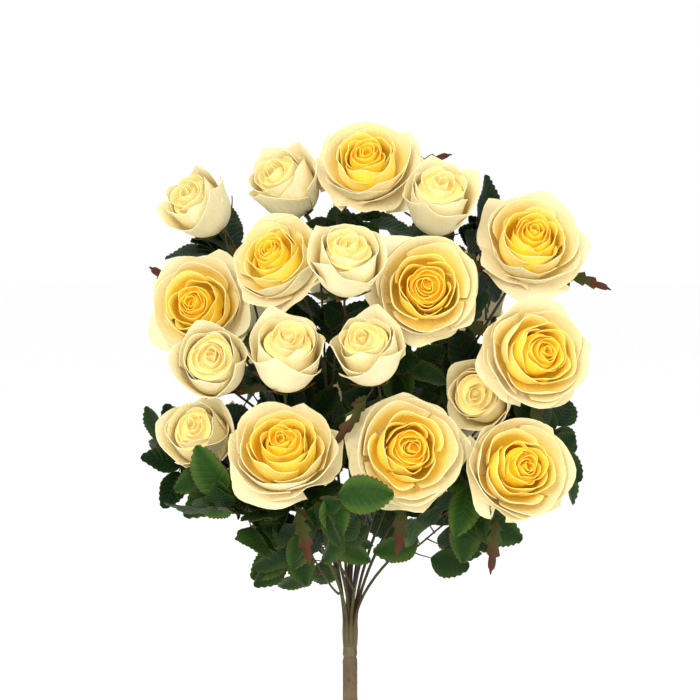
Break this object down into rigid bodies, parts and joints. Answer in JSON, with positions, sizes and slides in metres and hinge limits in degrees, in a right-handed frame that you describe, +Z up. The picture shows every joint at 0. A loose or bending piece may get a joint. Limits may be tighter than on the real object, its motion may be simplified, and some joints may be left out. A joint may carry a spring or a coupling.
{
  "type": "artificial rose bush",
  "caption": "Artificial rose bush: wire stems in one moulded handle, with open and half-open silk-like roses in cream and gold, and dark green leafy shoots.",
  "frame": {"origin": "centre of the flat cut under the handle, at ground level", "axes": "+Z up along the handle, the front of the bush faces -Y, +X is its right side seen from the front"},
  "size_m": [0.4259, 0.3322, 0.595],
  "materials": {
    "handle": "moulded olive tan plastic, satin",
    "stem": "olive brown plastic sleeve over wire, satin",
    "open_rose": "dyed satin cloth petals, gold at the heart and cream at the rim",
    "half_open_rose": "dyed satin cloth petals, pale yellow and cream",
    "leaf": "printed and waxed cloth leaves, dark green, slight sheen",
    "young_leaf": "printed and waxed cloth, red brown",
    "calyx": "moulded green plastic, satin"
  },
  "bodies": {
    "root": {"handle": "handle", "stem_rose_01": "stem", "stem_rose_03": "stem", "stem_bud_06": "stem", "stem_rose_04": "stem", "stem_rose_05": "stem", "stem_rose_07": "stem", "stem_rose_08": "stem", "stem_rose_09": "stem", "stem_rose_06": "stem", "stem_rose_02": "stem", "stem_rose_11": "stem", "stem_rose_12": "stem", "stem_rose_10": "stem", "rose_01": "open_rose", "rose_02": "open_rose", "rose_03": "open_rose", "rose_04": "open_rose", "rose_05": "open_rose", "rose_06": "open_rose", "rose_07": "open_rose", "rose_08": "open_rose", "rose_09": "open_rose", "rose_10": "open_rose", "rose_11": "open_rose", "rose_12": "open_rose", "bud_01": "half_open_rose", "bud_02": "half_open_rose", "bud_03": "half_open_rose", "bud_04": "half_open_rose", "bud_05": "half_open_rose", "bud_06": "half_open_rose", "bud_07": "half_open_rose", "bud_08": "half_open_rose", "bud_09": "half_open_rose", "bud_10": "half_open_rose", "bud_11": "half_open_rose", "bud_12": "half_open_rose", "leaves_01": "leaf", "leaves_02": "leaf", "leaves_03": "leaf", "leaves_04": "leaf", "leaves_05": "leaf", "leaves_06": "leaf", "leaves_07": "leaf", "leaves_08": "leaf", "leaves_09": "leaf", "leaves_10": "leaf", "leaves_11": "leaf", "leaves_12": "leaf", "leaves_13": "leaf", "leaves_14": "leaf", "leaves_15": "leaf", "leaves_16": "leaf", "leaves_17": "leaf", "leaves_18": "leaf", "leaves_19": "leaf", "leaves_20": "leaf", "leaves_21": "leaf", "leaves_22": "leaf"}
  },
  "joints": []
}
